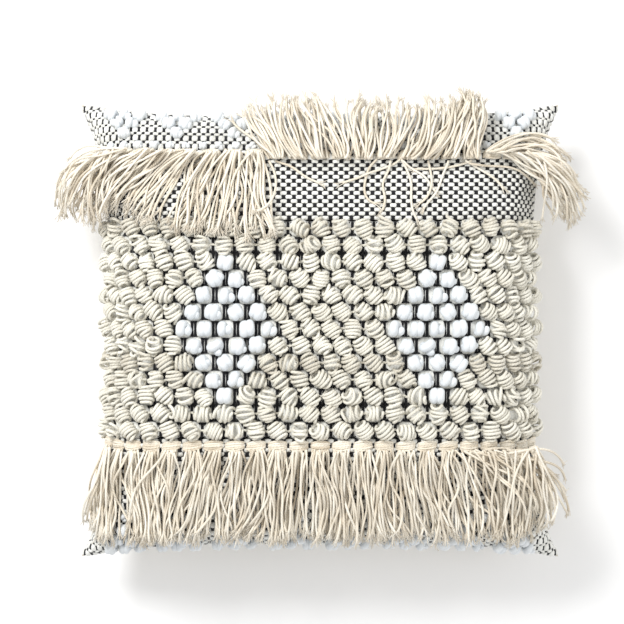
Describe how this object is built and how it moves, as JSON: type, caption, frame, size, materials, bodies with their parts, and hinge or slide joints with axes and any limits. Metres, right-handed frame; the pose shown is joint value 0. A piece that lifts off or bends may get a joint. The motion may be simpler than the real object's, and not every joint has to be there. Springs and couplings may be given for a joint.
{
  "type": "floor cushion",
  "caption": "Square handwoven floor cushion: rows of yarn knots, white bobble diamonds, two corded fringes, a zipped removable cover and a fibre-filled insert.",
  "frame": {"origin": "on the floor under the middle of the cushion", "axes": "+Z up, through the decorated front; +X right and +Y up as the front is seen, so the fringes hang towards -Y"},
  "size_m": [0.6546, 0.568, 0.1892],
  "materials": {
    "woven_ground": "handwoven wool and cotton, off-white weft over black warp",
    "back_canvas": "plain-woven natural cotton canvas",
    "knot_yarn": "plied cream wool cord",
    "bobble_roving": "soft unspun white roving",
    "fringe_yarn": "plied cream wool cord with frayed ends",
    "casing_cotton": "plain white cotton",
    "fibre_fill": "white polyester fibre",
    "zip_tape": "woven polyester tape",
    "zip_coil": "nylon coil",
    "zip_metal": "nickel-plated zinc alloy"
  },
  "bodies": {
    "cushion": {"cover_back": "back_canvas", "cover_front": "woven_ground", "insert_casing_back": "casing_cotton", "insert_casing_front": "casing_cotton", "insert_fill": "fibre_fill", "knot_row_01": "knot_yarn", "knot_row_02": "knot_yarn", "knot_row_03": "knot_yarn", "knot_row_04": "knot_yarn", "knot_row_05": "knot_yarn", "knot_row_06": "knot_yarn", "knot_row_07": "knot_yarn", "knot_row_08": "knot_yarn", "knot_row_09": "knot_yarn", "knot_row_10": "knot_yarn", "knot_row_11": "knot_yarn", "knot_row_12": "knot_yarn", "knot_row_13": "knot_yarn", "left_diamond_bobbles": "bobble_roving", "lower_band_bobbles": "bobble_roving", "lower_fringe": "fringe_yarn", "lower_fringe_knots": "fringe_yarn", "right_diamond_bobbles": "bobble_roving", "upper_band_bobbles": "bobble_roving", "upper_fringe_flipped": "fringe_yarn", "upper_fringe_knots": "fringe_yarn", "upper_fringe_left": "fringe_yarn", "upper_fringe_right": "fringe_yarn", "zip_bottom_stop": "zip_metal", "zip_coil_lower": "zip_coil", "zip_coil_upper": "zip_coil", "zip_tape_lower": "zip_tape", "zip_tape_upper": "zip_tape", "zip_top_stops": "zip_metal"},
    "zip_slider": {"zip_slider": "zip_metal"},
    "zip_pull_tab": {"zip_pull_tab": "zip_metal"}
  },
  "joints": [
    {"name": "zip_slide", "type": "slide", "parent": "cushion", "child": "zip_slider", "axis": [-1, 0, 0], "range_m": [0, 0.345]},
    {"name": "pull_tab_hinge", "type": "hinge", "parent": "zip_slider", "child": "zip_pull_tab", "pos_m": [0.18, -0.2674, 0.082], "axis": [0, 0, 1], "range_deg": [0, 150]}
  ]
}
